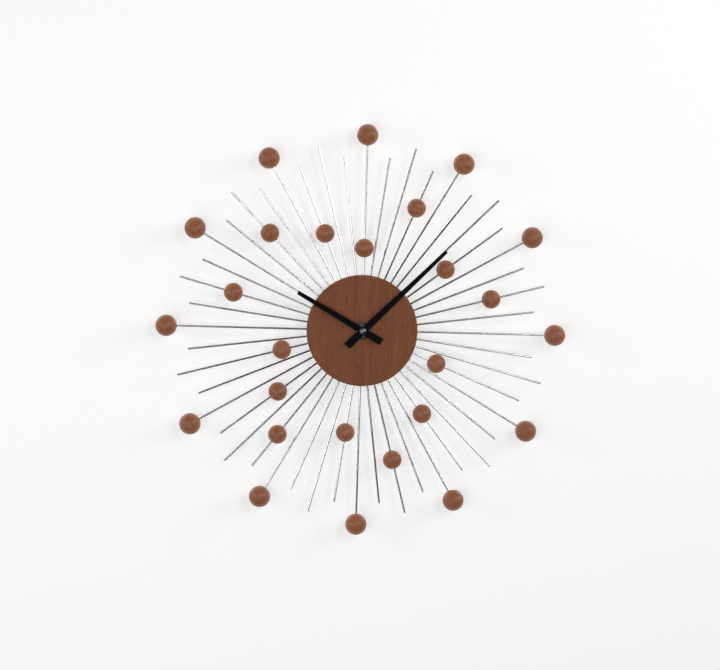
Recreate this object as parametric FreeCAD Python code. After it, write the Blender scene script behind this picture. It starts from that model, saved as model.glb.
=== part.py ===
"""Sunburst wall clock: a walnut dial, 48 steel spokes with walnut balls, and a quartz movement.

Millimetres. X is to the right seen from the front, Z is up, and the clock faces -Y.
The origin is on the axis of the hands, in the plane of the wall. A depth is a distance
forward from the wall, so depth d is at y = -d. Angles on the dial are clockwise from 12,
seen from the front.
"""
import FreeCAD, Part
import math
import os

V = FreeCAD.Vector

# ---- Dial, spokes and balls -------------------------------------------------------------
DIAL_RADIUS = 67.5
DIAL_THICKNESS = 8.0
DIAL_ROUNDING = 3.0
SPOKE_COUNT = 48
SPOKE_DIAMETER = 2.5
SPOKE_ROOT = 40.0           # distance of the spokes' inner ends from the axis
HOUR_RING = 237.0           # ring of the twelve large balls
MID_TIP = 230.0             # tips of the spokes halfway between the hours
SHORT_TIP = 212.0           # tips of the spokes at every odd step
HOUR_BALL = 26.0
ACCENT_BALL = 23.0
HOUR_BALL_DRILL = 4.0       # how far the blind hole runs past the ball's centre
GLUE_GAP = 0.02
ACCENT_RINGS = {            # ring radius, then the spokes (0 to 47) that carry a ball
    "near": (100.0, (0, 15, 34)),
    "mid": (126.0, (7, 19, 25, 31, 45)),
    "far": (162.6, (3, 10, 22, 29, 38, 42)),
}

# ---- Hub stack, from the wall forward ---------------------------------------------------
CASE_DEPTH = 16.5
RUBBER_THICKNESS = 1.0
BRACKET_THICKNESS = 1.2
PLATE_THICKNESS = 1.5
WASHER_THICKNESS = 0.6
NUT_THICKNESS = 2.2
BRACKET_BACK = CASE_DEPTH + RUBBER_THICKNESS
PLATE_BACK = BRACKET_BACK + BRACKET_THICKNESS
PLATE_FRONT = PLATE_BACK + PLATE_THICKNESS
SPOKE_DEPTH = PLATE_FRONT + SPOKE_DIAMETER / 2
DIAL_BACK = PLATE_FRONT + SPOKE_DIAMETER
DIAL_FRONT = DIAL_BACK + DIAL_THICKNESS
WASHER_FRONT = DIAL_FRONT + WASHER_THICKNESS
NUT_FRONT = WASHER_FRONT + NUT_THICKNESS
BUSHING_FRONT = NUT_FRONT + 0.6
HOUR_HAND_BACK = BUSHING_FRONT + 0.8
MINUTE_HAND_BACK = HOUR_HAND_BACK + 2.3
HAND_THICKNESS = 0.6

PLATE_RADIUS = 59.0
BUSHING_RADIUS = 4.0
BUSHING_CLEARANCE = 0.1
BUSHING_FLANGE = 5.2
NUT_ACROSS_FLATS = 14.0
WASHER_RADIUS = 10.8
RUBBER_RADIUS = 10.0

# ---- Dial screws ------------------------------------------------------------------------
SCREW_CIRCLE = 50.0
SCREW_STEPS = (6.5, 18.5, 30.5, 42.5)    # halfway between two spokes, in spoke steps
SCREW_RADIUS = 1.45
SCREW_HEAD_RADIUS = 2.8
SCREW_HEAD_HEIGHT = 1.9
SCREW_BITE = 5.5
CROSS_SLOT = (3.0, 0.7, 0.9)             # length, width and depth of each cross slot

# ---- Hanger bracket ---------------------------------------------------------------------
BRACKET_HALF_WIDTH = 9.0
BRACKET_BOTTOM = -12.0
BRACKET_WEB = 29.2          # height of the web's underside, above the case
BRACKET_TOP = 48.0
BEND_RADIUS = 1.0
KEYHOLE_HEIGHT = 37.0
KEYHOLE_RADIUS = 4.0
KEYHOLE_SLOT = 2.0          # half width of the narrow upper part
KEYHOLE_SLOT_TOP = 42.0

# ---- Hands ------------------------------------------------------------------------------
MINUTE_ANGLE = 45.0
MINUTE_LENGTH = 140.0
MINUTE_WIDTHS = (9.4, 3.9)  # at the tail and at the tip
HOUR_ANGLE = 299.2
HOUR_LENGTH = 91.5
HOUR_WIDTHS = (8.8, 4.8)
HAND_TAIL = 26.5
HOUR_COLLAR = (3.6, 0.6)    # radius and height of the collar behind the blade
MINUTE_COLLAR = (2.6, 0.9)
HAND_NUT_RADIUS = 4.5
HAND_NUT_HEIGHT = 3.4
HAND_NUT_ROUNDING = 2.2

# ---- Movement case ----------------------------------------------------------------------
CASE_HALF = 28.0
CASE_WALL = 1.2
CASE_CORNER = 3.0
CASE_SPLIT = 9.0
CASE_FLOOR = 1.2            # rear wall
CASE_ROOF = 15.4            # inner face of the front wall
BAY_TOP = -11.4             # underside of the battery bay's wall
BAY_WALL = 1.0
CLIP_HEIGHT = 14.0
CLIP_HALF_WIDTH = 3.0
CLIP_THICKNESS = 0.6
CLIP_DEPTH = 4.5
MARK_DEPTH = 0.35           # of every mark sunk into the rear face
LABEL_PANEL = ((-15.0, 15.0), (12.5, 22.5))    # x and z of the blank panel
LABEL_CORNER = 1.5
TURN_ARROW = (7.5, 8.5, 45, 125)         # inner and outer radius, start and end in degrees
ARROW_HEAD = (1.3, 14)                   # half width, and length in degrees
POLE_MARKS = (22.0, -8.7)                # x and z of the plus and, mirrored, the minus
POLE_STROKE = (2.6, 0.6)

# ---- Battery ----------------------------------------------------------------------------
BATTERY_RADIUS = 7.2
BATTERY_HALF = 25.2
BATTERY_NUB = 1.0
BATTERY_NUB_RADIUS = 2.7
BATTERY_DEPTH = 8.0
BATTERY_HEIGHT = -18.9

# ---- Going train: (x, z) of each arbor --------------------------------------------------
CENTRE = (0.0, 0.0)
FIFTH = (-7.0, 0.0)
ROTOR = (-7.0, 4.8)
THIRD = (0.0, 6.8)
SETTING_DISTANCE = 7.2
SETTING_DIRECTION = math.radians(-20)
SETTING = (
    SETTING_DISTANCE * math.cos(SETTING_DIRECTION),
    SETTING_DISTANCE * math.sin(SETTING_DIRECTION),
)
TRAIN_MODULE = 0.2
CENTRE_MODULE = 6.8 / 36
MOTION_MODULE = 0.3
HOUR_MODULE = 0.288
PIVOT_RADIUS = 0.3
PIVOT_HOLE = 0.38
ARBOR_RADIUS = 0.35
BOSS_RADIUS = 0.7
BOSS_FRONT = 1.5
PIVOT_END = 0.8
BRIDGE_BACK = 10.7
BRIDGE_FRONT = 11.4
MINUTE_ARBOR_RADIUS = 1.6
HOUR_PIPE_BORE = 1.7
HOUR_PIPE_RADIUS = 2.5
BUSHING_BORE = 2.6
THREAD_RADIUS = 1.25
SETTING_ARBOR_RADIUS = 0.7
KNOB_RADIUS = 5.0
KNOB_BACK = 0.4
KNOB_FRONT = 2.4
POCKET_RADIUS = 5.6
POCKET_FLOOR = (2.6, 3.4)

# Tooth shape: addendum and dedendum in modules, then the tooth's width at the pitch
# circle, tip and root as parts of the pitch.
WHEEL_TOOTH = (0.90, 1.25, 0.42, 0.20, 0.60)
PINION_TOOTH = (0.75, 1.30, 0.38, 0.20, 0.46)

# ---- Stepping motor and electronics -----------------------------------------------------
MAGNET_RADIUS = 3.0
MAGNET_DEPTHS = (1.9, 3.9)
STATOR_DEPTHS = (2.3, 3.5)
STATOR_HOLE = 3.4
STATOR_LEFT = -24.0
STATOR_RIGHT = -1.0
STATOR_LEG = 3.2
STATOR_YOKE = (0.9, 9.2)
STATOR_TOP = 21.0
CORE_HEIGHT = 18.0
CORE_HALF_WIDTH = 1.5
CORE_THICKNESS = 0.8
BOBBIN_ENDS = (-20.5, -4.5)
BOBBIN_FLANGE = (2.6, 0.8)               # radius and thickness
BOBBIN_TUBE = 1.8
WINDING_RADIUS = 2.45
BOARD_X = (2.0, 25.0)
BOARD_Z = (12.0, 25.5)
BOARD_DEPTHS = (6.0, 7.0)
BOARD_POSTS = ((6.0, 16.0), (22.5, 23.0))
CONTACT_THICKNESS = 0.4
CONTACT_WALL = 26.75                     # outer face of the contact strips

NODES = {}


# ---- Helpers ----------------------------------------------------------------------------
def disc(radius, back, front, at=CENTRE):
    """Solid disc about a line parallel to Y, between two depths."""
    return Part.makeCylinder(radius, front - back, V(at[0], -front, at[1]), V(0, 1, 0))


def ring(outer, inner, back, front, at=CENTRE):
    return disc(outer, back, front, at).cut(disc(inner, back - 1, front + 1, at))


def block(x, depths, z):
    """Box from (low, high) pairs in x, depth and z."""
    corner = V(x[0], -depths[1], z[0])
    return Part.makeBox(x[1] - x[0], depths[1] - depths[0], z[1] - z[0], corner)


def plate(points, back, front):
    """Flat plate with straight edges, from its (x, z) corners."""
    corners = [V(x, -front, z) for x, z in points]
    face = Part.Face(Part.makePolygon(corners + corners[:1]))
    return face.extrude(V(0, front - back, 0))


def rounded_block(half, depths, corner):
    """Square block centred on the axis, with rounded corners along Y."""
    shape = block((-half, half), depths, (-half, half))
    return shape.makeFillet(corner, edges_along_y(shape))


def edges_along_y(shape):
    return [e for e in shape.Edges if abs(abs(e.tangentAt(e.FirstParameter).y) - 1) < 1e-6]


def circles_at(shape, radius, depth):
    """Full-circle edges of one radius at one depth."""
    found = []
    for edge in shape.Edges:
        curve = edge.Curve
        if not isinstance(curve, Part.Circle):
            continue
        if abs(curve.Radius - radius) < 1e-6 and abs(curve.Center.y + depth) < 1e-6:
            found.append(edge)
    return found


def turned(shape, angle):
    """Turn a shape made at 12 o'clock to an angle on the dial."""
    placed = shape.copy()
    placed.rotate(V(0, 0, 0), V(0, 1, 0), angle)
    return placed


def step_angle(step):
    return step * 360.0 / SPOKE_COUNT


def add(node, *solids):
    NODES[node] = solids[0] if len(solids) == 1 else Part.makeCompound(list(solids))


# ---- Gears ------------------------------------------------------------------------------
def gear(teeth, module, tooth, depths, at, phase):
    """Gear with straight-sided teeth; phase is the direction of one tooth, from +X to +Z."""
    addendum, dedendum, at_pitch, at_tip, at_root = tooth
    pitch_radius = teeth * module / 2
    pitch = 2 * math.pi / teeth
    tip = (pitch_radius + addendum * module, at_tip)
    middle = (pitch_radius, at_pitch)
    root = (pitch_radius - dedendum * module, at_root)
    rising = [(r, -width / 2) for r, width in (root, middle, tip)]
    falling = [(r, width / 2) for r, width in (tip, middle, root)]
    points = []
    for number in range(teeth):
        for radius, part in rising + falling:
            angle = phase + (number + part) * pitch
            points.append((at[0] + radius * math.cos(angle), at[1] + radius * math.sin(angle)))
    return plate(points, *depths)


def direction(start, end):
    return math.atan2(end[1] - start[1], end[0] - start[0])


def meshing_phase(start, teeth, end, other_teeth):
    """Phase of a gear at end that meshes with one at start whose phase is 0."""
    angle = direction(start, end)
    return angle + math.pi + math.pi / other_teeth + angle * teeth / other_teeth


def arbor(at, back, front, radius=ARBOR_RADIUS):
    """Shaft with a thinner pivot at its rear end."""
    return disc(radius, BOSS_FRONT + 0.1, front, at).fuse(disc(PIVOT_RADIUS, back, front, at))


# ---- Dial and sunburst ------------------------------------------------------------------
def screw_angles():
    return [step_angle(step) for step in SCREW_STEPS]


def make_dial():
    dial = disc(DIAL_RADIUS, DIAL_BACK, DIAL_FRONT)
    dial = dial.makeFillet(DIAL_ROUNDING, circles_at(dial, DIAL_RADIUS, DIAL_FRONT))
    dial = dial.makeChamfer(0.5, circles_at(dial, DIAL_RADIUS, DIAL_BACK))
    dial = dial.cut(disc(BUSHING_RADIUS + BUSHING_CLEARANCE, 0, DIAL_FRONT + 1))
    pilot = disc(SCREW_RADIUS + GLUE_GAP, 0, DIAL_BACK + SCREW_BITE + 0.5, (0, SCREW_CIRCLE))
    for angle in screw_angles():
        dial = dial.cut(turned(pilot, angle))
    add("dial_disc", dial)


def make_hub_plate():
    hub = ring(PLATE_RADIUS, BUSHING_RADIUS + BUSHING_CLEARANCE, PLATE_BACK, PLATE_FRONT)
    hole = disc(SCREW_RADIUS + 0.15, PLATE_BACK - 1, PLATE_FRONT + 1, (0, SCREW_CIRCLE))
    for angle in screw_angles():
        hub = hub.cut(turned(hole, angle))
    add("hub_plate", hub)


def dial_screw():
    """Pan-head wood screw at 12 o'clock, driven forward through the plate into the dial."""
    at = (0, SCREW_CIRCLE)
    head_back = PLATE_BACK - SCREW_HEAD_HEIGHT
    head = disc(SCREW_HEAD_RADIUS, head_back, PLATE_BACK, at)
    head = head.makeFillet(0.9, circles_at(head, SCREW_HEAD_RADIUS, head_back))
    shank = disc(SCREW_RADIUS, PLATE_BACK, DIAL_BACK + SCREW_BITE - 1.5, at)
    point = Part.makeCone(SCREW_RADIUS, 0.2, 1.5, V(0, -DIAL_BACK - SCREW_BITE + 1.5, at[1]),
                          V(0, -1, 0))
    length, width, depth = CROSS_SLOT
    cut_depths = (head_back - 1, head_back + depth)
    across = block((-length / 2, length / 2), cut_depths, (at[1] - width / 2, at[1] + width / 2))
    along = block((-width / 2, width / 2), cut_depths, (at[1] - length / 2, at[1] + length / 2))
    return head.cut(across).cut(along).fuse([shank, point]).removeSplitter()


def spoke(tip):
    """One rod at 12 o'clock, with its two ends lightly chamfered."""
    rod = Part.makeCylinder(SPOKE_DIAMETER / 2, tip - SPOKE_ROOT, V(0, -SPOKE_DEPTH, SPOKE_ROOT),
                            V(0, 0, 1))
    ends = [e for e in rod.Edges if isinstance(e.Curve, Part.Circle)]
    return rod.makeChamfer(0.25, ends)


def hour_spoke_tip():
    return HOUR_RING + HOUR_BALL_DRILL


def make_spokes():
    groups = (
        ("spokes_hour", range(0, SPOKE_COUNT, 4), hour_spoke_tip()),
        ("spokes_mid", range(2, SPOKE_COUNT, 4), MID_TIP),
        ("spokes_short", range(1, SPOKE_COUNT, 2), SHORT_TIP),
    )
    for node, steps, tip in groups:
        rod = spoke(tip)
        add(node, *[turned(rod, step_angle(step)) for step in steps])


def ball(diameter, ring_radius, hole_top):
    """Wooden ball at 12 o'clock, drilled from below up to hole_top."""
    centre = V(0, -SPOKE_DEPTH, ring_radius)
    sphere = Part.makeSphere(diameter / 2, centre)
    start = ring_radius - diameter
    drill = Part.makeCylinder(SPOKE_DIAMETER / 2 + GLUE_GAP, hole_top - start,
                              V(0, -SPOKE_DEPTH, start), V(0, 0, 1))
    return sphere.cut(drill)


def make_balls():
    outer = ball(HOUR_BALL, HOUR_RING, hour_spoke_tip() + GLUE_GAP)
    for hour in range(12):
        add("hour_ball_%02d" % (hour or 12), turned(outer, hour * 30.0))
    for name, (radius, steps) in ACCENT_RINGS.items():
        through = ball(ACCENT_BALL, radius, radius + ACCENT_BALL)
        add("accent_balls_" + name, *[turned(through, step_angle(step)) for step in steps])


# ---- Hub fastening and hanger -----------------------------------------------------------
def make_bushing():
    flange = disc(BUSHING_FLANGE, CASE_ROOF - 0.8, CASE_ROOF)
    body = disc(BUSHING_RADIUS, CASE_ROOF - 0.8, BUSHING_FRONT)
    body = body.makeChamfer(0.4, circles_at(body, BUSHING_RADIUS, BUSHING_FRONT))
    add("threaded_bushing", body.fuse(flange).cut(disc(BUSHING_BORE, 0, BUSHING_FRONT + 1)))


def make_washers():
    hole = BUSHING_RADIUS + BUSHING_CLEARANCE
    add("rubber_washer", ring(RUBBER_RADIUS, hole, CASE_DEPTH, BRACKET_BACK))
    washer = disc(WASHER_RADIUS, DIAL_FRONT, WASHER_FRONT)
    washer = washer.makeFillet(0.25, circles_at(washer, WASHER_RADIUS, WASHER_FRONT))
    add("dial_washer", washer.cut(disc(hole, DIAL_FRONT - 1, WASHER_FRONT + 1)))


def make_hex_nut():
    """Hexagon with its corners turned down to a cone on the front."""
    corner = NUT_ACROSS_FLATS / math.sqrt(3)
    points = []
    for side in range(6):
        angle = math.radians(60 * side)
        points.append((corner * math.cos(angle), corner * math.sin(angle)))
    nut = plate(points, WASHER_FRONT, NUT_FRONT)
    slope = 2.0
    cone = Part.makeCone(NUT_ACROSS_FLATS / 2 + NUT_THICKNESS * slope, NUT_ACROSS_FLATS / 2,
                         NUT_THICKNESS, V(0, -WASHER_FRONT, 0), V(0, -1, 0))
    hole = disc(BUSHING_RADIUS + GLUE_GAP, WASHER_FRONT - 1, NUT_FRONT + 1)
    add("hex_nut", nut.common(cone).cut(hole))


def fillet_bend(shape, depth, height, radius):
    """Round the edge along X at one depth and height."""
    edges = []
    for edge in shape.Edges:
        middle = edge.CenterOfMass
        along_x = abs(abs(edge.tangentAt(edge.FirstParameter).x) - 1) < 1e-6
        if along_x and abs(middle.y + depth) < 1e-6 and abs(middle.z - height) < 1e-6:
            edges.append(edge)
    return shape.makeFillet(radius, edges)


def make_hanger_bracket():
    """Steel strip clamped on the bushing, bent back over the case to a keyhole at the wall."""
    wide = (-BRACKET_HALF_WIDTH, BRACKET_HALF_WIDTH)
    web_top = BRACKET_WEB + BRACKET_THICKNESS
    front_leg = block(wide, (BRACKET_BACK, PLATE_BACK), (BRACKET_BOTTOM, web_top))
    web = block(wide, (0, PLATE_BACK), (BRACKET_WEB, web_top))
    rear_leg = block(wide, (0, BRACKET_THICKNESS), (BRACKET_WEB, BRACKET_TOP))
    strip = front_leg.fuse([web, rear_leg]).removeSplitter()
    outer = BEND_RADIUS + BRACKET_THICKNESS
    strip = fillet_bend(strip, BRACKET_BACK, BRACKET_WEB, BEND_RADIUS)
    strip = fillet_bend(strip, PLATE_BACK, web_top, outer)
    strip = fillet_bend(strip, BRACKET_THICKNESS, web_top, BEND_RADIUS)
    strip = fillet_bend(strip, 0, BRACKET_WEB, outer)
    low_centre = BRACKET_BOTTOM + BRACKET_HALF_WIDTH
    high_centre = BRACKET_TOP - BRACKET_HALF_WIDTH
    all_depths = (-1, PLATE_BACK + 1)
    round_ends = [disc(BRACKET_HALF_WIDTH, *all_depths, (0, z)) for z in (low_centre, high_centre)]
    strip = strip.common(block(wide, all_depths, (low_centre, high_centre)).fuse(round_ends))
    strip = strip.cut(disc(BUSHING_RADIUS + BUSHING_CLEARANCE, BRACKET_BACK - 1, PLATE_BACK + 1))
    leg = (-1, BRACKET_THICKNESS + 1)
    strip = strip.cut(disc(KEYHOLE_RADIUS, *leg, (0, KEYHOLE_HEIGHT)))
    strip = strip.cut(disc(KEYHOLE_SLOT, *leg, (0, KEYHOLE_SLOT_TOP)))
    slot = block((-KEYHOLE_SLOT, KEYHOLE_SLOT), leg, (KEYHOLE_HEIGHT, KEYHOLE_SLOT_TOP))
    add("hanger_bracket", strip.cut(slot))


# ---- Hands ------------------------------------------------------------------------------
def hand(length, widths, back, bore, angle, collar):
    """Straight tapered blade with a square tail, on a collar behind the blade."""
    tail, tip = widths[0] / 2, widths[1] / 2
    outline = [(-tail, -HAND_TAIL), (tail, -HAND_TAIL), (tip, length), (-tip, length)]
    blade = plate(outline, back, back + HAND_THICKNESS)
    collar_radius, collar_height = collar
    collet = disc(collar_radius, back - collar_height, back)
    hole = disc(bore, back - collar_height - 1, back + HAND_THICKNESS + 1)
    return turned(blade.fuse(collet).cut(hole), angle)


def make_hands():
    add("hour_hand", hand(HOUR_LENGTH, HOUR_WIDTHS, HOUR_HAND_BACK, HOUR_PIPE_RADIUS + GLUE_GAP,
                          HOUR_ANGLE, HOUR_COLLAR))
    add("minute_hand", hand(MINUTE_LENGTH, MINUTE_WIDTHS, MINUTE_HAND_BACK,
                            THREAD_RADIUS + GLUE_GAP, MINUTE_ANGLE, MINUTE_COLLAR))


def make_hand_nut():
    """Domed nut that clamps the minute hand on its thread."""
    back = MINUTE_HAND_BACK + HAND_THICKNESS
    front = back + HAND_NUT_HEIGHT
    nut = disc(HAND_NUT_RADIUS, back, front)
    nut = nut.makeFillet(HAND_NUT_ROUNDING, circles_at(nut, HAND_NUT_RADIUS, front))
    nut = nut.makeChamfer(0.3, circles_at(nut, HAND_NUT_RADIUS, back))
    add("hand_nut", nut.cut(disc(THREAD_RADIUS + GLUE_GAP, back - 1, front - 0.9)))


# ---- Movement case ----------------------------------------------------------------------
def clip_blocks(clearance):
    """The four snap tongues on the case's left and right sides."""
    inner = CASE_HALF - CLIP_THICKNESS - clearance
    half = CLIP_HALF_WIDTH + clearance
    blocks = []
    for side in (-1, 1):
        x = sorted((side * inner, side * (CASE_HALF + clearance)))
        for height in (-CLIP_HEIGHT, CLIP_HEIGHT):
            span = (height - half, height + half)
            blocks.append(block(x, (CLIP_DEPTH - clearance, CASE_SPLIT), span))
    return blocks


def bay_wall(depths):
    """Wall above the battery, short of both sides so that the contact strips pass."""
    reach = CONTACT_WALL - CONTACT_THICKNESS - 0.15
    return block((-reach, reach), depths, (BAY_TOP, BAY_TOP + BAY_WALL))


def label_recess():
    """Shallow blank panel with rounded corners."""
    panel = block(LABEL_PANEL[0], (-1, MARK_DEPTH), LABEL_PANEL[1])
    return panel.makeFillet(LABEL_CORNER, edges_along_y(panel))


def turn_arrow():
    """Bent arrow round the setting knob, pointing the way that the hands go forward."""
    inner, outer, start, end = TURN_ARROW
    band = ring(outer, inner, -1, MARK_DEPTH, SETTING)
    rays = [SETTING]
    for degrees in range(start, end + 1, 20):
        rays.append(around_setting(2 * outer, degrees))
    band = band.common(plate(rays, -1, MARK_DEPTH))
    half_width, length = ARROW_HEAD
    middle = (inner + outer) / 2
    head = (around_setting(middle - half_width, end), around_setting(middle + half_width, end),
            around_setting(middle, end + length))
    return band.fuse(plate(head, -1, MARK_DEPTH))


def around_setting(radius, degrees):
    """(x, z) of a place round the setting arbor."""
    angle = math.radians(degrees)
    return SETTING[0] + radius * math.cos(angle), SETTING[1] + radius * math.sin(angle)


def pole_marks():
    """Plus beside the battery's nub and minus beside its flat end."""
    x, z = POLE_MARKS
    length, width = (size / 2 for size in POLE_STROKE)
    depths = (-1, MARK_DEPTH)
    upright = block((x - width, x + width), depths, (z - length, z + length))
    level = [block((at - length, at + length), depths, (z - width, z + width)) for at in (x, -x)]
    return [upright] + level


def make_rear_case():
    inner = CASE_HALF - CASE_WALL
    case = rounded_block(CASE_HALF, (0, CASE_SPLIT), CASE_CORNER)
    case = case.cut(rounded_block(inner, (CASE_FLOOR, CASE_SPLIT + 1), CASE_CORNER - CASE_WALL))
    pocket_wall = disc(POCKET_RADIUS + 0.8, 0, POCKET_FLOOR[1], SETTING)
    bosses = [disc(BOSS_RADIUS, 0.5, BOSS_FRONT, at) for at in (CENTRE, FIFTH, ROTOR, THIRD)]
    posts = [disc(1.2, 0.5, BOARD_DEPTHS[0], at) for at in BOARD_POSTS]
    case = case.fuse([pocket_wall, bay_wall((CASE_FLOOR, CASE_SPLIT))] + bosses + posts)
    case = case.cut(disc(POCKET_RADIUS, -1, POCKET_FLOOR[0], SETTING))
    case = case.cut(disc(SETTING_ARBOR_RADIUS + 0.1, -1, CASE_SPLIT, SETTING))
    bay = block((-inner + 0.4, inner - 0.4), (-1, CASE_FLOOR + 1), (-inner + 0.2, BAY_TOP))
    case = case.cut(bay)
    for at in (CENTRE, FIFTH, ROTOR, THIRD):
        case = case.cut(disc(PIVOT_HOLE, PIVOT_END - 0.1, BOSS_FRONT + 1, at))
    for recess in clip_blocks(0.05) + [label_recess(), turn_arrow()] + pole_marks():
        case = case.cut(recess)
    add("movement_rear_case", case.removeSplitter())


def make_front_case():
    inner = CASE_HALF - CASE_WALL
    case = rounded_block(CASE_HALF, (CASE_SPLIT, CASE_DEPTH), CASE_CORNER)
    front_edges = [e for e in case.Edges if abs(e.CenterOfMass.y + CASE_DEPTH) < 1e-6]
    case = case.makeFillet(0.8, front_edges)
    case = case.cut(rounded_block(inner, (CASE_SPLIT - 1, CASE_ROOF), CASE_CORNER - CASE_WALL))
    boss = disc(1.1, CASE_ROOF - 0.4, CASE_ROOF + 0.3, SETTING)
    case = case.fuse([bay_wall((CASE_SPLIT, CASE_ROOF)), boss] + clip_blocks(0))
    case = case.cut(disc(0.5, CASE_ROOF - 1, CASE_ROOF + 0.2, SETTING))
    case = case.cut(disc(BUSHING_RADIUS + GLUE_GAP, CASE_ROOF - 1, CASE_DEPTH + 1))
    add("movement_front_case", case.removeSplitter())


def make_gear_bridge():
    """Plate on three posts that carries the front pivots of the train."""
    outline = ((-13.0, -8.0), (9.5, -8.0), (12.5, -3.0), (12.5, 10.5), (-6.5, 14.5), (-13.0, 10.5))
    posts_at = ((-10.5, -5.8), (10.2, 8.0), (-9.0, 12.0))
    bridge = plate(outline, BRIDGE_BACK, BRIDGE_FRONT)
    bridge = bridge.makeFillet(2.0, edges_along_y(bridge))
    bridge = bridge.fuse([disc(1.2, CASE_FLOOR, BRIDGE_BACK, at) for at in posts_at])
    bridge = bridge.cut(disc(1.1, 0, CASE_DEPTH, CENTRE))
    bridge = bridge.cut(disc(SETTING_ARBOR_RADIUS + 0.15, 0, CASE_DEPTH, SETTING))
    for at in (FIFTH, ROTOR, THIRD):
        bridge = bridge.cut(disc(PIVOT_HOLE, 0, CASE_DEPTH, at))
    add("gear_bridge", bridge.removeSplitter())


# ---- Wheels -----------------------------------------------------------------------------
def make_rotor():
    magnet = ring(MAGNET_RADIUS, ARBOR_RADIUS + GLUE_GAP, *MAGNET_DEPTHS, ROTOR)
    add("rotor_magnet", magnet)
    leaves = gear(8, TRAIN_MODULE, PINION_TOOTH, (4.3, 5.7), ROTOR, 0)
    shaft = disc(ARBOR_RADIUS, BOSS_FRONT + 0.1, BRIDGE_BACK - 0.1, ROTOR)
    pivots = disc(PIVOT_RADIUS, PIVOT_END, BRIDGE_FRONT - 0.1, ROTOR)
    add("rotor_pinion", leaves.fuse([shaft, pivots]).removeSplitter())


def wheel_on_pinion(wheel, pinion, at):
    """One moulded wheel and pinion on a shaft that runs from the rear case to the bridge."""
    shaft = disc(ARBOR_RADIUS, BOSS_FRONT + 0.1, BRIDGE_BACK - 0.1, at)
    pivots = disc(PIVOT_RADIUS, PIVOT_END, BRIDGE_FRONT - 0.1, at)
    return wheel.fuse([pinion, shaft, pivots]).removeSplitter()


def make_train():
    rim = gear(40, TRAIN_MODULE, WHEEL_TOOTH, (4.7, 5.4), FIFTH, meshing_phase(ROTOR, 8, FIFTH, 40))
    leaves = gear(10, TRAIN_MODULE, PINION_TOOTH, (5.4, 7.2), FIFTH, 0)
    add("fifth_wheel", wheel_on_pinion(rim, leaves, FIFTH))

    rim = gear(60, TRAIN_MODULE, WHEEL_TOOTH, (6.2, 6.9), CENTRE,
               meshing_phase(FIFTH, 10, CENTRE, 60))
    leaves = gear(8, TRAIN_MODULE, PINION_TOOTH, (6.9, 8.5), CENTRE, 0)
    shaft = disc(ARBOR_RADIUS, BOSS_FRONT + 0.1, 8.5, CENTRE)
    pivots = disc(PIVOT_RADIUS, PIVOT_END, 9.2, CENTRE)
    add("second_wheel", rim.fuse([leaves, shaft, pivots]).removeSplitter())

    rim = gear(60, TRAIN_MODULE, WHEEL_TOOTH, (7.6, 8.3), THIRD, meshing_phase(CENTRE, 8, THIRD, 60))
    leaves = gear(8, CENTRE_MODULE, PINION_TOOTH, (8.3, 10.4), THIRD, 0)
    add("third_wheel", wheel_on_pinion(rim, leaves, THIRD))

    rim = gear(64, CENTRE_MODULE, WHEEL_TOOTH, (9.45, 10.1), CENTRE,
               meshing_phase(THIRD, 8, CENTRE, 64))
    add("centre_wheel", rim.cut(disc(1.05, 9, 11)))


def make_minute_arbor():
    """Arbor of the minute hand, with a 12-leaf pinion and the collars of the clutch."""
    shoulder = MINUTE_HAND_BACK - MINUTE_COLLAR[1]
    thread_front = MINUTE_HAND_BACK + HAND_THICKNESS + HAND_NUT_HEIGHT - 1.1
    leaves = gear(12, MOTION_MODULE, PINION_TOOTH, (11.6, 12.8), CENTRE, 0)
    parts = [
        disc(1.5, 8.8, 9.1),
        disc(1.0, 8.8, 11.6),
        disc(1.5, 10.15, 10.5),
        disc(MINUTE_ARBOR_RADIUS, 12.8, shoulder),
        disc(THREAD_RADIUS, shoulder, thread_front),
    ]
    shape = leaves.fuse(parts).cut(disc(PIVOT_HOLE, 8, 9.3))
    add("minute_arbor", shape.removeSplitter())
    add("clutch_spring", ring(1.95, 1.02, 9.1, 9.4))


def make_setting_gears():
    rim = gear(36, MOTION_MODULE, WHEEL_TOOTH, (11.7, 12.6), SETTING,
               meshing_phase(CENTRE, 12, SETTING, 36))
    leaves = gear(10, HOUR_MODULE, PINION_TOOTH, (12.6, 14.8), SETTING, 0)
    pivot = disc(0.4, 14.8, 15.3, SETTING)
    wheel = rim.fuse([leaves, pivot]).cut(disc(SETTING_ARBOR_RADIUS - 0.15, 11, 13, SETTING))
    add("setting_wheel", wheel.removeSplitter())
    knob = disc(KNOB_RADIUS, KNOB_BACK, KNOB_FRONT, SETTING)
    notch = Part.makeCylinder(0.45, 4, V(SETTING[0], -KNOB_FRONT - 1, SETTING[1] + KNOB_RADIUS + 0.1),
                              V(0, 1, 0))
    for number in range(24):
        groove = notch.copy()
        groove.rotate(V(SETTING[0], 0, SETTING[1]), V(0, 1, 0), number * 15)
        knob = knob.cut(groove)
    knob = knob.cut(ring(3.6, 1.6, -1, KNOB_BACK + 0.5, SETTING))
    stem = disc(SETTING_ARBOR_RADIUS, KNOB_FRONT, 11.7, SETTING)
    spigot = disc(SETTING_ARBOR_RADIUS - 0.17, 11.7, 12.9, SETTING)
    add("setting_knob", knob.fuse([stem, spigot]).removeSplitter())


def make_hour_wheel():
    phase = meshing_phase(SETTING, 10, CENTRE, 40)
    rim = gear(40, HOUR_MODULE, WHEEL_TOOTH, (13.4, 14.3), CENTRE, phase)
    pipe = disc(HOUR_PIPE_RADIUS, 13.4, HOUR_HAND_BACK + HAND_THICKNESS + 0.3)
    add("hour_wheel", rim.fuse(pipe).cut(disc(HOUR_PIPE_BORE, 13, MINUTE_HAND_BACK)))


# ---- Stepping motor ---------------------------------------------------------------------
def core_depth():
    return STATOR_DEPTHS[1] + CORE_THICKNESS / 2


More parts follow.
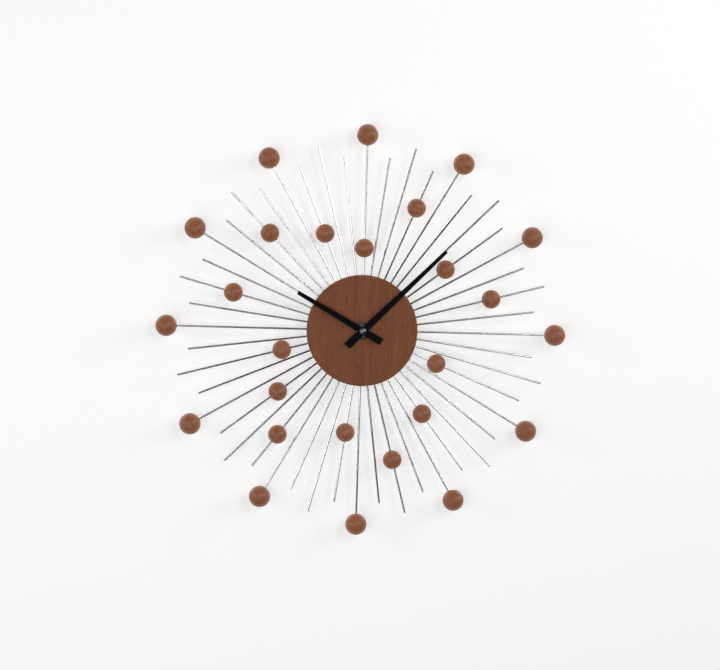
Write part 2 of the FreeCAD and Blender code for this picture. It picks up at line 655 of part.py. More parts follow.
def lying_cylinder(radius, x, height, depth):
    """Cylinder along X between two x values."""
    return Part.makeCylinder(radius, x[1] - x[0], V(x[0], -depth, height), V(1, 0, 0))


def make_stator():
    yoke = block((STATOR_LEFT, STATOR_RIGHT), STATOR_DEPTHS, STATOR_YOKE)
    left = block((STATOR_LEFT, STATOR_LEFT + STATOR_LEG), STATOR_DEPTHS, (STATOR_YOKE[0], STATOR_TOP))
    right = block((STATOR_RIGHT - STATOR_LEG, STATOR_RIGHT), STATOR_DEPTHS,
                  (STATOR_YOKE[0], STATOR_TOP))
    stator = yoke.fuse([left, right]).cut(disc(STATOR_HOLE, 1, 5, ROTOR))
    add("stator", stator.removeSplitter())


def make_coil():
    z = (CORE_HEIGHT - CORE_HALF_WIDTH, CORE_HEIGHT + CORE_HALF_WIDTH)
    depths = (STATOR_DEPTHS[1], STATOR_DEPTHS[1] + CORE_THICKNESS)
    core = block((STATOR_LEFT, STATOR_RIGHT), depths, z)
    add("coil_core", core)
    low, high = BOBBIN_ENDS
    radius, thickness = BOBBIN_FLANGE
    bobbin = lying_cylinder(BOBBIN_TUBE, (low, high), CORE_HEIGHT, core_depth())
    for x in ((low, low + thickness), (high - thickness, high)):
        bobbin = bobbin.fuse(lying_cylinder(radius, x, CORE_HEIGHT, core_depth()))
    window = block((low - 1, high + 1), (depths[0] - GLUE_GAP, depths[1] + GLUE_GAP),
                   (z[0] - GLUE_GAP, z[1] + GLUE_GAP))
    add("coil_bobbin", bobbin.cut(window).removeSplitter())
    span = (low + thickness, high - thickness)
    winding = lying_cylinder(WINDING_RADIUS, span, CORE_HEIGHT, core_depth())
    inside = lying_cylinder(BOBBIN_TUBE + GLUE_GAP, span, CORE_HEIGHT, core_depth())
    add("coil_winding", winding.cut(inside))


# ---- Board, crystal, battery and contacts -----------------------------------------------
def make_electronics():
    add("circuit_board", block(BOARD_X, BOARD_DEPTHS, BOARD_Z))
    front = BOARD_DEPTHS[1]
    crystal = lying_cylinder(1.0, (7.0, 13.0), 22.0, front + 1.0)
    add("quartz_crystal", crystal)
    dome = Part.makeSphere(4.0, V(18.0, -(front - 3.0), 17.0))
    add("chip_blob", dome.common(block((13, 23), (front, front + 2), (12, 22))))


def make_battery():
    body = lying_cylinder(BATTERY_RADIUS, (-BATTERY_HALF, BATTERY_HALF - BATTERY_NUB),
                          BATTERY_HEIGHT, BATTERY_DEPTH)
    rims = [e for e in body.Edges if isinstance(e.Curve, Part.Circle)]
    body = body.makeFillet(0.6, rims)
    nub = lying_cylinder(BATTERY_NUB_RADIUS, (BATTERY_HALF - BATTERY_NUB - 0.5, BATTERY_HALF),
                         BATTERY_HEIGHT, BATTERY_DEPTH)
    add("aa_battery", body.fuse(nub).removeSplitter())


def make_positive_contact():
    """Strip up the right side with a dimple at the battery and a foot on the board."""
    inner = CONTACT_WALL - CONTACT_THICKNESS
    depths = (BATTERY_DEPTH - 3, BATTERY_DEPTH + 3)
    strip = block((inner, CONTACT_WALL), depths, (BATTERY_HEIGHT - 4, 16))
    dimple = lying_cylinder(2.0, (BATTERY_HALF + 0.05, inner + 0.1), BATTERY_HEIGHT, BATTERY_DEPTH)
    foot_depths = (BOARD_DEPTHS[1], BOARD_DEPTHS[1] + CONTACT_THICKNESS)
    foot = block((BOARD_X[1] - 1.5, CONTACT_WALL), foot_depths, (13, 16))
    add("positive_contact", strip.fuse([dimple, foot]).removeSplitter())


def make_negative_contact():
    """Strip up the left side and along the top, with a sprung leaf at the battery."""
    inner = CONTACT_WALL - CONTACT_THICKNESS
    depths = (BATTERY_DEPTH - 3, BATTERY_DEPTH + 3)
    corner = CASE_CORNER - CASE_WALL
    shell = rounded_block(CONTACT_WALL, depths, corner)
    shell = shell.cut(rounded_block(inner, (depths[0] - 1, depths[1] + 1), corner - CONTACT_THICKNESS))
    strip = shell.common(block((-CONTACT_WALL, 6), depths, (BATTERY_HEIGHT - 5, CONTACT_WALL)))
    foot_depths = (BOARD_DEPTHS[1], BOARD_DEPTHS[1] + CONTACT_THICKNESS)
    foot = block((3, 6), foot_depths, (BOARD_Z[1] - 1.5, CONTACT_WALL))
    peak = -BATTERY_HALF - 0.05
    back_of_peak = peak - CONTACT_THICKNESS
    low, high = BATTERY_HEIGHT - 5, BATTERY_HEIGHT + 4
    leaf = plate(((-inner, low), (peak, BATTERY_HEIGHT - 0.8), (peak, BATTERY_HEIGHT + 0.8),
                  (-inner + 0.5, high), (-inner + 0.1, high), (back_of_peak, BATTERY_HEIGHT + 0.8),
                  (back_of_peak, BATTERY_HEIGHT - 0.8), (-inner - 0.2, low)),
                 BATTERY_DEPTH - 2, BATTERY_DEPTH + 2)
    add("negative_contact", strip.fuse([foot, leaf]).removeSplitter())


# ---- Whole clock ------------------------------------------------------------------------
def build():
    make_dial()
    make_hub_plate()
    add("dial_screws", *[turned(dial_screw(), angle) for angle in screw_angles()])
    make_spokes()
    make_balls()
    make_bushing()
    make_washers()
    make_hex_nut()
    make_hanger_bracket()
    make_hands()
    make_hand_nut()
    make_rear_case()
    make_front_case()
    make_gear_bridge()
    make_rotor()
    make_train()
    make_minute_arbor()
    make_setting_gears()
    make_hour_wheel()
    make_stator()
    make_coil()
    make_electronics()
    make_battery()
    make_positive_contact()
    make_negative_contact()


def export():
    os.makedirs("parts", exist_ok=True)
    for node, shape in NODES.items():
        shape.exportStep("parts/%s.step" % node)
        solids = shape.Solids
        print("%-22s solids %2d valid %s volume %.1f" % (node, len(solids), shape.isValid(),
                                                        sum(s.Volume for s in solids)))


build()
export()
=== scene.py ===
"""Looks of the sunburst wall clock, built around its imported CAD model.

Metres, in the model's own frame: X to the right seen from the front, Z up, the clock faces
-Y, the wall is the plane y = 0 and the hands turn about the Y axis. A depth is a distance
forward from the wall. Dial angles are clockwise from 12, seen from the front.
"""
import bmesh
import bpy
import math
import random
from mathutils import Matrix, Vector


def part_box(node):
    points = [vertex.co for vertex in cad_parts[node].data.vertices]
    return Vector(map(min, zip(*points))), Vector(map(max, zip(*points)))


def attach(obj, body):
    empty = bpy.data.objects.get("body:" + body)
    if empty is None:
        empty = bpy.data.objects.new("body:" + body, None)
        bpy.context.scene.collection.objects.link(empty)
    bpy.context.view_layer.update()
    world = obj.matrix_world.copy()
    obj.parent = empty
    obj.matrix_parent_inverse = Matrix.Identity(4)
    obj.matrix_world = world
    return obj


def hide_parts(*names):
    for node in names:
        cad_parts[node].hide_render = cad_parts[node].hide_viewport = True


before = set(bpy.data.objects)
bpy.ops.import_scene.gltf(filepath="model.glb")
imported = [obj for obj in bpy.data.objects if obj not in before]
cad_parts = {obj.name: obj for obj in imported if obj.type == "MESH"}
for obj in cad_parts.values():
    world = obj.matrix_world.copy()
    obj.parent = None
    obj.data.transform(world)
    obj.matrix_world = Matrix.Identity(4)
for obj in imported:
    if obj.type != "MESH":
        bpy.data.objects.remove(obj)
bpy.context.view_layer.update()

MM = 0.001
STEPS = 48                       # spoke places round the dial
AXIS_SEGMENTS = 48               # segments of a small turned piece
SHARP = math.radians(32)         # edges that turn more than this stay sharp
TINY = 1e-6                      # metres, for comparing places

# Local z of a turned piece points forward from the wall, or along the battery.
FORWARD = Matrix(((1, 0, 0, 0), (0, 0, -1, 0), (0, 1, 0, 0), (0, 0, 0, 1)))
ALONG_X = Matrix(((0, 0, 1, 0), (1, 0, 0, 0), (0, 1, 0, 0), (0, 0, 0, 1)))

# ---- Sizes that the boxes of the CAD nodes don't give -------------------------------------
SPOKE_ROOT = 40 * MM
HOUR_RING = 237 * MM
HOUR_TIP = 241 * MM
MID_TIP = 230 * MM
SHORT_TIP = 212 * MM
HOUR_BALL = 13 * MM
ACCENT_BALL = 11.5 * MM
BORE = 1.27 * MM
ACCENT_RINGS = {                 # ring radius and the spokes that carry a ball
    "near": (100 * MM, (0, 15, 34)),
    "mid": (126 * MM, (7, 19, 25, 31, 45)),
    "far": (162.6 * MM, (3, 10, 22, 29, 38, 42)),
}
WELD_CIRCLES = (45 * MM, 53 * MM)
BUSHING_BORE = 2.6 * MM
SHAFT_HOLE = 4.1 * MM
THREAD_PITCH = 0.75 * MM


# ---- Places taken from the frame ----------------------------------------------------------
def depths(node):
    """How far the back and the front of a node are forward of the wall."""
    low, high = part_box(node)
    return -high.y, -low.y


def reach(node):
    """Half the width of a node that is centred on the axis of the hands."""
    low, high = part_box(node)
    return (high.x - low.x) / 2


def middle(node):
    """Centre of a node's box."""
    low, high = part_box(node)
    return (low + high) / 2


def on_spoke(step, distance=0.0):
    """Matrix whose local z runs outwards along a spoke, starting at a distance from the axis."""
    centre = Matrix.Translation((0, middle("spokes_hour").y, 0))
    outwards = Matrix.Rotation(2 * math.pi * step / STEPS, 4, "Y")
    return centre @ outwards @ Matrix.Translation((0, 0, distance))


# ---- Mesh helpers -------------------------------------------------------------------------
def arc(centre, radius, start, end, steps):
    """Points of an arc in a (radius, height) profile, angles in degrees from the r axis."""
    points = []
    for number in range(steps + 1):
        angle = math.radians(start + (end - start) * number / steps)
        points.append((centre[0] + radius * math.cos(angle), centre[1] + radius * math.sin(angle)))
    return points


def join_rings(bm, lower, upper):
    """Faces between two rings of vertices; one of the rings may be a single vertex."""
    count = max(len(lower), len(upper))
    for number in range(count):
        after = (number + 1) % count
        if len(lower) == 1:
            bm.faces.new((lower[0], upper[after], upper[number]))
        elif len(upper) == 1:
            bm.faces.new((lower[number], lower[after], upper[0]))
        else:
            bm.faces.new((lower[number], lower[after], upper[after], upper[number]))


def lathe(bm, profile, place, segments=AXIS_SEGMENTS, closed=False, shape=None, grain=None):
    """Spin (radius, height) points about local z; points on the axis become one vertex.

    shape(radius, height, angle) may return a changed radius and height. grain is a matrix
    that turns local places into the space that the textures use.
    """
    layer = bm.verts.layers.float_vector["grain"]
    rings = []
    for radius, height in profile:
        ring = []
        for number in range(segments if radius > TINY else 1):
            angle = 2 * math.pi * number / segments
            r, h = shape(radius, height, angle) if shape else (radius, height)
            local = Vector((r * math.cos(angle), r * math.sin(angle), h))
            vertex = bm.verts.new(place @ local)
            vertex[layer] = grain @ local if grain else local
            ring.append(vertex)
        rings.append(ring)
    for lower, upper in zip(rings, rings[1:]):
        join_rings(bm, lower, upper)
    if closed:
        join_rings(bm, rings[-1], rings[0])


def new_mesh():
    """Empty bmesh whose vertices remember where they lie in the textures."""
    bm = bmesh.new()
    bm.verts.layers.float_vector.new("grain")
    return bm


def make_piece(bm, name, material, slot, body, *nodes):
    """Turn a bmesh into a shown piece that rides on a body and stands for CAD nodes."""
    bmesh.ops.recalc_face_normals(bm, faces=bm.faces)
    for edge in bm.edges:
        edge.smooth = len(edge.link_faces) == 2 and edge.calc_face_angle() < SHARP
    for face in bm.faces:
        face.smooth = True
    mesh = bpy.data.meshes.new(name)
    bm.to_mesh(mesh)
    bm.free()
    mesh.materials.append(material)
    piece = bpy.data.objects.new(name, mesh)
    bpy.context.scene.collection.objects.link(piece)
    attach(piece, body)
    if nodes:
        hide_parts(*nodes)
    return piece


def turned_piece(name, profile, material, slot, body, node, **how):
    """Piece turned about the axis of the hands; how goes on to lathe."""
    bm = new_mesh()
    lathe(bm, profile, FORWARD, **how)
    return make_piece(bm, name, material, slot, body, node)


# ---- Material helper ----------------------------------------------------------------------
class Surface:
    """A Principled material with short ways to wire procedural textures into it.

    Its textures lie in the object's own space, or with grain in the space that lathe stored.
    """

    def __init__(self, name, colour, roughness, metallic=0.0, grain=False):
        self.material = bpy.data.materials.new(name)
        self.material.use_nodes = True
        self.tree = self.material.node_tree
        self.shader = self.tree.nodes["Principled BSDF"]
        self.set("Base Color", (*colour, 1))
        self.set("Roughness", roughness)
        self.set("Metallic", metallic)
        if grain:
            self.space = self.node("ShaderNodeAttribute", attribute_name="grain").outputs["Vector"]
        else:
            self.space = self.node("ShaderNodeTexCoord").outputs["Object"]

    def node(self, kind, inputs=(), **settings):
        """Add a node; inputs pairs a socket's name or number with a value or an output."""
        made = self.tree.nodes.new(kind)
        for name, value in settings.items():
            setattr(made, name, value)
        for key, value in dict(inputs).items():
            if isinstance(value, bpy.types.NodeSocket):
                self.tree.links.new(value, made.inputs[key])
            else:
                made.inputs[key].default_value = value
        return made

    def set(self, socket, value):
        """Set a socket of the shader, or link an output to it."""
        if isinstance(value, bpy.types.NodeSocket):
            self.tree.links.new(value, self.shader.inputs[socket])
        else:
            self.shader.inputs[socket].default_value = value

    def placed(self, stretch=(1, 1, 1), move=(0, 0, 0)):
        """The texture space, scaled and moved."""
        inputs = {"Vector": self.space, "Scale": stretch, "Location": move}
        return self.node("ShaderNodeMapping", inputs).outputs["Vector"]

    def noise(self, size, stretch=(1, 1, 1), detail=3.0, rough=0.5):
        """Noise from 0 to 1 whose features are about size metres; a small stretch lengthens."""
        where = self.placed(stretch)
        inputs = {"Vector": where, "Scale": 1 / size, "Detail": detail, "Roughness": rough}
        return self.node("ShaderNodeTexNoise", inputs).outputs["Fac"]

    def remap(self, value, low, high, new_low=0.0, new_high=1.0):
        inputs = {"Value": value, "From Min": low, "From Max": high,
                  "To Min": new_low, "To Max": new_high}
        return self.node("ShaderNodeMapRange", inputs).outputs["Result"]

    def math(self, operation, first, second):
        return self.node("ShaderNodeMath", {0: first, 1: second}, operation=operation).outputs[0]

    def mix(self, factor, first, second):
        """Mix two colours, each given as (r, g, b) or as an output."""
        made = self.node("ShaderNodeMix", {0: factor}, data_type="RGBA")
        for number, value in ((6, first), (7, second)):
            if isinstance(value, bpy.types.NodeSocket):
                self.tree.links.new(value, made.inputs[number])
            else:
                made.inputs[number].default_value = (*value, 1)
        return made.outputs[2]

    def worn_edges(self, width):
        """About 1 on the rounding of an edge and 0 on a flat or gently curved face."""
        soft = self.node("ShaderNodeBevel", {"Radius": width}, samples=4).outputs["Normal"]
        true = self.node("ShaderNodeNewGeometry").outputs["True Normal"]
        dot = self.node("ShaderNodeVectorMath", {0: soft, 1: true}, operation="DOT_PRODUCT")
        return self.remap(dot.outputs["Value"], 0.99, 0.88)

    def bump(self, height, distance, strength=1.0):
        """Add relief of about that distance in metres; calls pile up."""
        inputs = {"Height": height, "Distance": distance, "Strength": strength}
        made = self.node("ShaderNodeBump", inputs)
        before = self.shader.inputs["Normal"].links
        if before:
            self.tree.links.new(before[0].from_socket, made.inputs["Normal"])
        self.set("Normal", made.outputs["Normal"])


# ---- Materials of the shown parts ---------------------------------------------------------
def walnut(name, lightness, specular, coat):
    """Oiled walnut: growth rings, long fibres and short dark pores along local z.

    lightness scales its colours, specular is its own gloss and coat the gloss of a wax finish.
    """
    def tint(red, green, blue):
        return red * lightness, green * lightness, blue * lightness

    wood = Surface(name, tint(0.2, 0.074, 0.035), 0.5, grain=True)
    along = (1, 1, 0.1)
    heart = (0.062, 0.1, 0)
    rings = wood.node("ShaderNodeTexWave", {
        "Vector": wood.placed(along, heart), "Scale": 46, "Distortion": 6,
        "Detail": 3, "Detail Scale": 14, "Detail Roughness": 0.55,
    }, wave_type="RINGS", rings_direction="Z", wave_profile="SAW").outputs["Fac"]
    broad = wood.noise(0.016, (1, 1, 0.08), detail=3)
    fibres = wood.noise(0.0012, (1, 1, 0.03), detail=4, rough=0.6)
    pores = wood.remap(wood.noise(0.00035, (1, 1, 0.035), detail=1), 0.66, 0.74)
    tone = wood.mix(wood.remap(rings, 0.1, 1), tint(0.232, 0.086, 0.04), tint(0.152, 0.053, 0.0245))
    tone = wood.mix(wood.remap(broad, 0.3, 0.7, 0, 0.7), tone, tint(0.275, 0.098, 0.042))
    tone = wood.mix(wood.remap(fibres, 0.35, 0.75, 0, 0.5), tone, tint(0.122, 0.042, 0.02))
    tone = wood.mix(wood.math("MULTIPLY", pores, 0.7), tone, tint(0.036, 0.014, 0.008))
    wear = wood.worn_edges(0.5 * MM)
    tone = wood.mix(wood.math("MULTIPLY", wear, 0.18), tone, tint(0.36, 0.17, 0.09))
    wood.set("Base Color", tone)
    wood.set("Roughness", wood.remap(fibres, 0.3, 0.8, 0.42, 0.62))
    wood.set("Specular IOR Level", specular)
    wood.set("Coat Weight", coat)
    wood.set("Coat Roughness", 0.36)
    wood.set("Diffuse Roughness", 1.0)
    wood.bump(fibres, 0.03 * MM, 0.5)
    wood.bump(pores, -0.05 * MM, 0.6)
    return wood.material


def polished_steel():
    """Bright drawn rod: fine lines along its length and a few dull patches."""
    steel = Surface("polished_steel", (0.62, 0.62, 0.63), 0.14, 1.0, grain=True)
    lines = steel.noise(0.00016, (1, 1, 0.012), detail=2)
    patches = steel.noise(0.012, (1, 1, 0.5), detail=4, rough=0.65)
    steel.set("Base Color", steel.mix(steel.remap(patches, 0.35, 0.75), (0.6, 0.6, 0.61),
                                      (0.48, 0.48, 0.485)))
    dull = steel.remap(patches, 0.4, 0.8, 0.15, 0.27)
    steel.set("Roughness", steel.math("ADD", dull, steel.remap(lines, 0.3, 0.7, -0.02, 0.03)))
    steel.bump(lines, 0.0015 * MM, 0.4)
    return steel.material


def zinc(name, welded=False):
    """Passivated zinc on rolled sheet; on the hub plate, heat tint round every spot weld."""
    coat = Surface(name, (0.5, 0.51, 0.53), 0.36, 1.0, grain=welded)
    blotches = coat.noise(0.009, detail=5, rough=0.62)
    rolling = coat.noise(0.0006, (1, 1, 0.04), detail=3)
    scratches = coat.remap(coat.noise(0.0012, (1, 0.2, 0.06), detail=6, rough=0.75), 0.64, 0.7)
    tone = coat.mix(coat.remap(blotches, 0.35, 0.65), (0.43, 0.455, 0.5), (0.6, 0.59, 0.55))
    if welded:
        heat = coat.node("ShaderNodeAttribute", attribute_name="weld_tint").outputs["Fac"]
        blue = (0.4, 0.43, 0.53)
        straw = (0.42, 0.33, 0.24)
        pressed = (0.5, 0.49, 0.47)
        tone = coat.mix(coat.remap(heat, 0, 0.25, 0, 0.6), tone, blue)
        tone = coat.mix(coat.remap(heat, 0.25, 0.5, 0, 0.7), tone, straw)
        tone = coat.mix(coat.remap(heat, 0.5, 0.8), tone, pressed)
    coat.set("Base Color", coat.mix(coat.math("MULTIPLY", scratches, 0.35), tone, (0.72, 0.72, 0.72)))
    coat.set("Roughness", coat.remap(blotches, 0.3, 0.75, 0.27, 0.46))
    coat.bump(rolling, 0.006 * MM, 0.5)
    coat.bump(scratches, -0.008 * MM, 0.4)
    return coat.material


def hand_black():
    """Satin black enamel, thinner and slightly grey on the stamped edges."""
    enamel = Surface("hand_black", (0.004, 0.004, 0.004), 0.42)
    enamel.set("Specular IOR Level", 0.03)
    peel = enamel.noise(0.0009, detail=2)
    dust = enamel.remap(enamel.noise(0.00022, detail=1), 0.72, 0.78)
    wear = enamel.math("MULTIPLY", enamel.worn_edges(0.12 * MM), enamel.noise(0.003, detail=4))
    tone = enamel.mix(peel, (0.0035, 0.0033, 0.003), (0.0055, 0.005, 0.0048))
    tone = enamel.mix(enamel.math("MULTIPLY", wear, 0.4), tone, (0.07, 0.07, 0.072))
    enamel.set("Base Color", enamel.mix(enamel.math("MULTIPLY", dust, 0.3), tone, (0.04, 0.04, 0.04)))
    enamel.set("Roughness", enamel.remap(peel, 0.3, 0.7, 0.36, 0.5))
    enamel.bump(peel, 0.006 * MM, 0.4)
    return enamel.material


def nickel(name, clean, hazy, roughness):
    """Nickel plate with turning marks round the axis and handling haze."""
    plate = Surface(name, clean, roughness, 1.0)
    haze = plate.noise(0.004, detail=5, rough=0.6)
    marks = plate.node("ShaderNodeTexWave", {
        "Vector": plate.space, "Scale": 900, "Distortion": 1.2, "Detail": 2, "Detail Scale": 400,
    }, wave_type="RINGS", rings_direction="Y").outputs["Fac"]
    plate.set("Base Color", plate.mix(plate.remap(haze, 0.35, 0.7), clean, hazy))
    plate.set("Roughness", plate.remap(haze, 0.3, 0.75, roughness - 0.04, roughness + 0.12))
    plate.bump(marks, 0.003 * MM, 0.35)
    return plate.material


def brass():
    """Turned brass with tool marks and a little tarnish in the hollows."""
    metal = Surface("brass", (0.6, 0.42, 0.16), 0.26, 1.0)
    tarnish = metal.noise(0.0035, detail=5, rough=0.65)
    marks = metal.noise(0.00015, (1, 5, 1), detail=2)
    tarnished = metal.remap(tarnish, 0.4, 0.72)
    metal.set("Base Color", metal.mix(tarnished, (0.66, 0.47, 0.19), (0.36, 0.22, 0.08)))
    metal.set("Roughness", metal.remap(tarnish, 0.3, 0.75, 0.18, 0.42))
    metal.bump(marks, 0.004 * MM, 0.4)
    return metal.material


def rubber():
    """Matt black rubber with talc in its fine pits."""
    sheet = Surface("rubber", (0.02, 0.02, 0.02), 0.85)
    pits = sheet.noise(0.0004, detail=4, rough=0.7)
    talc = sheet.remap(sheet.noise(0.003, detail=5, rough=0.7), 0.5, 0.75)
    dusty = sheet.math("MULTIPLY", talc, 0.4)
    sheet.set("Base Color", sheet.mix(dusty, (0.018, 0.018, 0.018), (0.1, 0.1, 0.1)))
    sheet.set("Roughness", sheet.remap(pits, 0.3, 0.7, 0.75, 0.95))
    sheet.bump(pits, 0.03 * MM, 0.6)
    return sheet.material


def moulded(name, colour, worn, roughness, texture_size, relief):
    """Moulded plastic: fine cavity texture, faint flow marks and rubbed edges."""
    plastic = Surface(name, colour, roughness)
    texture = plastic.noise(texture_size, detail=3, rough=0.65)
    flow = plastic.noise(0.02, (1, 1, 0.35), detail=3)
    darker = tuple(0.82 * part for part in colour)
    tone = plastic.mix(plastic.remap(flow, 0.35, 0.65), colour, darker)
    rubbed = plastic.math("MULTIPLY", plastic.worn_edges(0.35 * MM), plastic.noise(0.002, detail=4))
    plastic.set("Base Color", plastic.mix(rubbed, tone, worn))
    plastic.set("Roughness", plastic.remap(texture, 0.3, 0.7, roughness - 0.07, roughness + 0.09))
    plastic.bump(texture, relief, 0.5)
    return plastic.material


def case_black():
    return moulded("case_black", (0.024, 0.024, 0.025), (0.09, 0.09, 0.09), 0.5, 0.00045, 0.03 * MM)


def gear_white():
    return moulded("gear_white", (0.72, 0.71, 0.67), (0.78, 0.77, 0.73), 0.4, 0.0008, 0.006 * MM)


def bridge_plastic():
    return moulded("bridge_plastic", (0.3, 0.31, 0.32), (0.4, 0.41, 0.42), 0.5, 0.0006, 0.012 * MM)


def knob_plastic():
    return moulded("knob_plastic", (0.5, 0.09, 0.05), (0.62, 0.2, 0.14), 0.42, 0.0005, 0.012 * MM)


# ---- Materials of the parts inside the movement -------------------------------------------
def sheet_metal(name, colour, stained, roughness, line_size, stretch):
    """Plain metal part: stains, rolling or drawing lines, and changing gloss."""
    metal = Surface(name, colour, roughness, 1.0)
    stains = metal.noise(0.004, detail=5, rough=0.65)
    lines = metal.noise(line_size, stretch, detail=3)
    metal.set("Base Color", metal.mix(metal.remap(stains, 0.42, 0.72), colour, stained))
    metal.set("Roughness", metal.remap(stains, 0.3, 0.75, roughness - 0.08, roughness + 0.1))
    metal.bump(lines, 0.004 * MM, 0.4)
    return metal.material


def magnet():
    return sheet_metal("magnet", (0.085, 0.085, 0.09), (0.05, 0.05, 0.055), 0.55, 0.0003, (1, 1, 1))


def motor_iron():
    return sheet_metal("motor_iron", (0.5, 0.5, 0.5), (0.36, 0.33, 0.3), 0.42, 0.0003, (0.05, 1, 1))


def spring_steel():
    return sheet_metal("spring_steel", (0.66, 0.66, 0.64), (0.52, 0.51, 0.48), 0.24, 0.0002, (1, 1, 0.04))


def crystal_can():
    return sheet_metal("crystal_can", (0.62, 0.62, 0.62), (0.48, 0.48, 0.47), 0.2, 0.0002, (0.04, 1, 1))


def copper():
    """Enamelled wire wound side by side along X, with painted shade in the grooves between turns."""
    wire = Surface("copper", (0.62, 0.25, 0.1), 0.25, 1.0)
    turns_and_groove_shade = wire.node("ShaderNodeTexWave", {"Vector": wire.space, "Scale": 2600, "Distortion": 0.4},
                      wave_type="BANDS", bands_direction="X").outputs["Fac"]
    uneven = wire.noise(0.0015, detail=3)
    # Painted shade: the colour darkens into the groove between neighbouring turns.
    tone = wire.mix(wire.remap(turns_and_groove_shade, 0, 0.5), (0.2, 0.06, 0.02), (0.68, 0.28, 0.11))
    wire.set("Base Color", wire.mix(wire.remap(uneven, 0.4, 0.7, 0, 0.5), tone, (0.5, 0.17, 0.06)))
    wire.set("Roughness", wire.remap(uneven, 0.3, 0.7, 0.2, 0.34))
    wire.set("Coat Weight", 0.5)
    wire.bump(turns_and_groove_shade, 0.05 * MM, 0.8)
    return wire.material


def board_green():
    """Solder mask over copper tracks, which show as slightly paler straight runs."""
    board = Surface("board_green", (0.02, 0.16, 0.06), 0.3)
    tracks = board.node("ShaderNodeTexVoronoi", {"Vector": board.space, "Scale": 260, "Randomness": 0.6},
                        distance="MANHATTAN", feature="F2").outputs["Distance"]
    mask = board.remap(tracks, 0.52, 0.56)
    weave = board.noise(0.0008, (1, 1, 0.3), detail=2)
    tone = board.mix(mask, (0.016, 0.13, 0.048), (0.03, 0.22, 0.085))
    board.set("Base Color", board.mix(board.remap(weave, 0.4, 0.8, 0, 0.3), tone, (0.012, 0.1, 0.04)))
    board.set("Roughness", board.remap(weave, 0.3, 0.7, 0.24, 0.38))
    board.bump(mask, 0.03 * MM, 0.6)
    return board.material


def epoxy():
    """Poured drop of black resin with a slightly rippled skin."""
    drop = Surface("epoxy", (0.01, 0.01, 0.01), 0.22)
    ripple = drop.noise(0.0018, detail=2)
    drop.set("Base Color", drop.mix(ripple, (0.008, 0.008, 0.008), (0.02, 0.02, 0.021)))
    drop.set("Roughness", drop.remap(ripple, 0.3, 0.7, 0.15, 0.32))
    drop.bump(ripple, 0.03 * MM, 0.5)
    return drop.material


def battery_wrap():
    """Shrink sleeve, dark with a copper-coloured band at the positive end, slightly wrinkled."""
    wrap = Surface("battery_wrap", (0.1, 0.12, 0.14), 0.33, grain=True)
    along = wrap.node("ShaderNodeSeparateXYZ", {"Vector": wrap.space}).outputs["Z"]
    band = wrap.remap(along, 11.0 * MM, 11.15 * MM)
    stripe_start = wrap.remap(along, 9.6 * MM, 9.7 * MM)
    stripe_end = wrap.remap(along, 10.4 * MM, 10.3 * MM)
    stripe = wrap.math("MULTIPLY", stripe_start, stripe_end)
    wrinkles = wrap.noise(0.004, (1, 1, 0.25), detail=4, rough=0.55)
    scuffs = wrap.remap(wrap.noise(0.0009, (0.5, 0.5, 0.1), detail=6, rough=0.75), 0.66, 0.72)
    tone = wrap.mix(wrap.math("MAXIMUM", band, stripe), (0.028, 0.034, 0.042), (0.5, 0.2, 0.06))
    tone = wrap.mix(wrap.remap(wrinkles, 0.4, 0.7, 0, 0.35), tone, (0.02, 0.022, 0.026))
    wrap.set("Base Color", wrap.mix(wrap.math("MULTIPLY", scuffs, 0.3), tone, (0.3, 0.3, 0.3)))
    wrap.set("Roughness", wrap.remap(wrinkles, 0.3, 0.7, 0.26, 0.42))
    wrap.set("Coat Weight", 0.3)
    wrap.bump(wrinkles, 0.05 * MM, 0.4)
    return wrap.material


# ---- Dial ---------------------------------------------------------------------------------
def make_dial(material):
    """Solid walnut disc with a rounded front edge and a small chamfer behind."""
    back, front = depths("dial_disc")
    radius = reach("dial_disc")
    rounding = 3.0 * MM
    chamfer = 0.5 * MM
    hole_chamfer = 0.3 * MM
    # Rings a little way off the rounding and the chamfer keep the shading of flat faces flat.
    profile = [(SHAFT_HOLE, back), (radius - 6 * MM, back), (radius - chamfer, back)]
    profile += [(radius, back + chamfer), (radius, front - rounding - 0.4 * MM)]
    profile += arc((radius - rounding, front - rounding), rounding, 0, 90, 14)
    profile += [(radius - rounding - 0.6 * MM, front), (SHAFT_HOLE + hole_chamfer, front)]
    profile += [(SHAFT_HOLE, front - hole_chamfer)]
    # Local y of the disc is up, and the wood's own z runs along it.
    grain = Matrix.Rotation(math.radians(90), 4, "X")
    turned_piece("walnut_dial", profile, material, "walnut", "frame", "dial_disc",
                 segments=288, closed=True, grain=grain)


# ---- Rods ---------------------------------------------------------------------------------
def rod_profile(tip):
    """Rod with both ends tumbled round; a ring next to each rounding keeps the shading straight."""
    radius = (depths("spokes_hour")[1] - depths("spokes_hour")[0]) / 2
    rounding = 0.3 * MM
    low = arc((radius - rounding, SPOKE_ROOT + rounding), rounding, -90, 0, 4)
    high = arc((radius - rounding, tip - rounding), rounding, 0, 90, 4)
    straight = [(radius, low[-1][1] + rounding), (radius, high[0][1] - rounding)]
    return [(0, SPOKE_ROOT)] + low + straight + high + [(0, tip)]


def make_rods(material):
    """Three pieces, one for each length; every rod shows its own stretch of the texture."""
    texture_gap = 0.37
    groups = (
        ("spokes_hour", range(0, STEPS, 4), HOUR_TIP),
        ("spokes_mid", range(2, STEPS, 4), MID_TIP),
        ("spokes_short", range(1, STEPS, 2), SHORT_TIP),
    )
    for node, steps, tip in groups:
        bm = new_mesh()
        for step in steps:
            shift = Matrix.Translation((0, 0, step * texture_gap))
            lathe(bm, rod_profile(tip), on_spoke(step), segments=28, grain=shift)
        name = node.replace("spokes", "rods")
        make_piece(bm, name, material, "polished_steel", "frame", node)


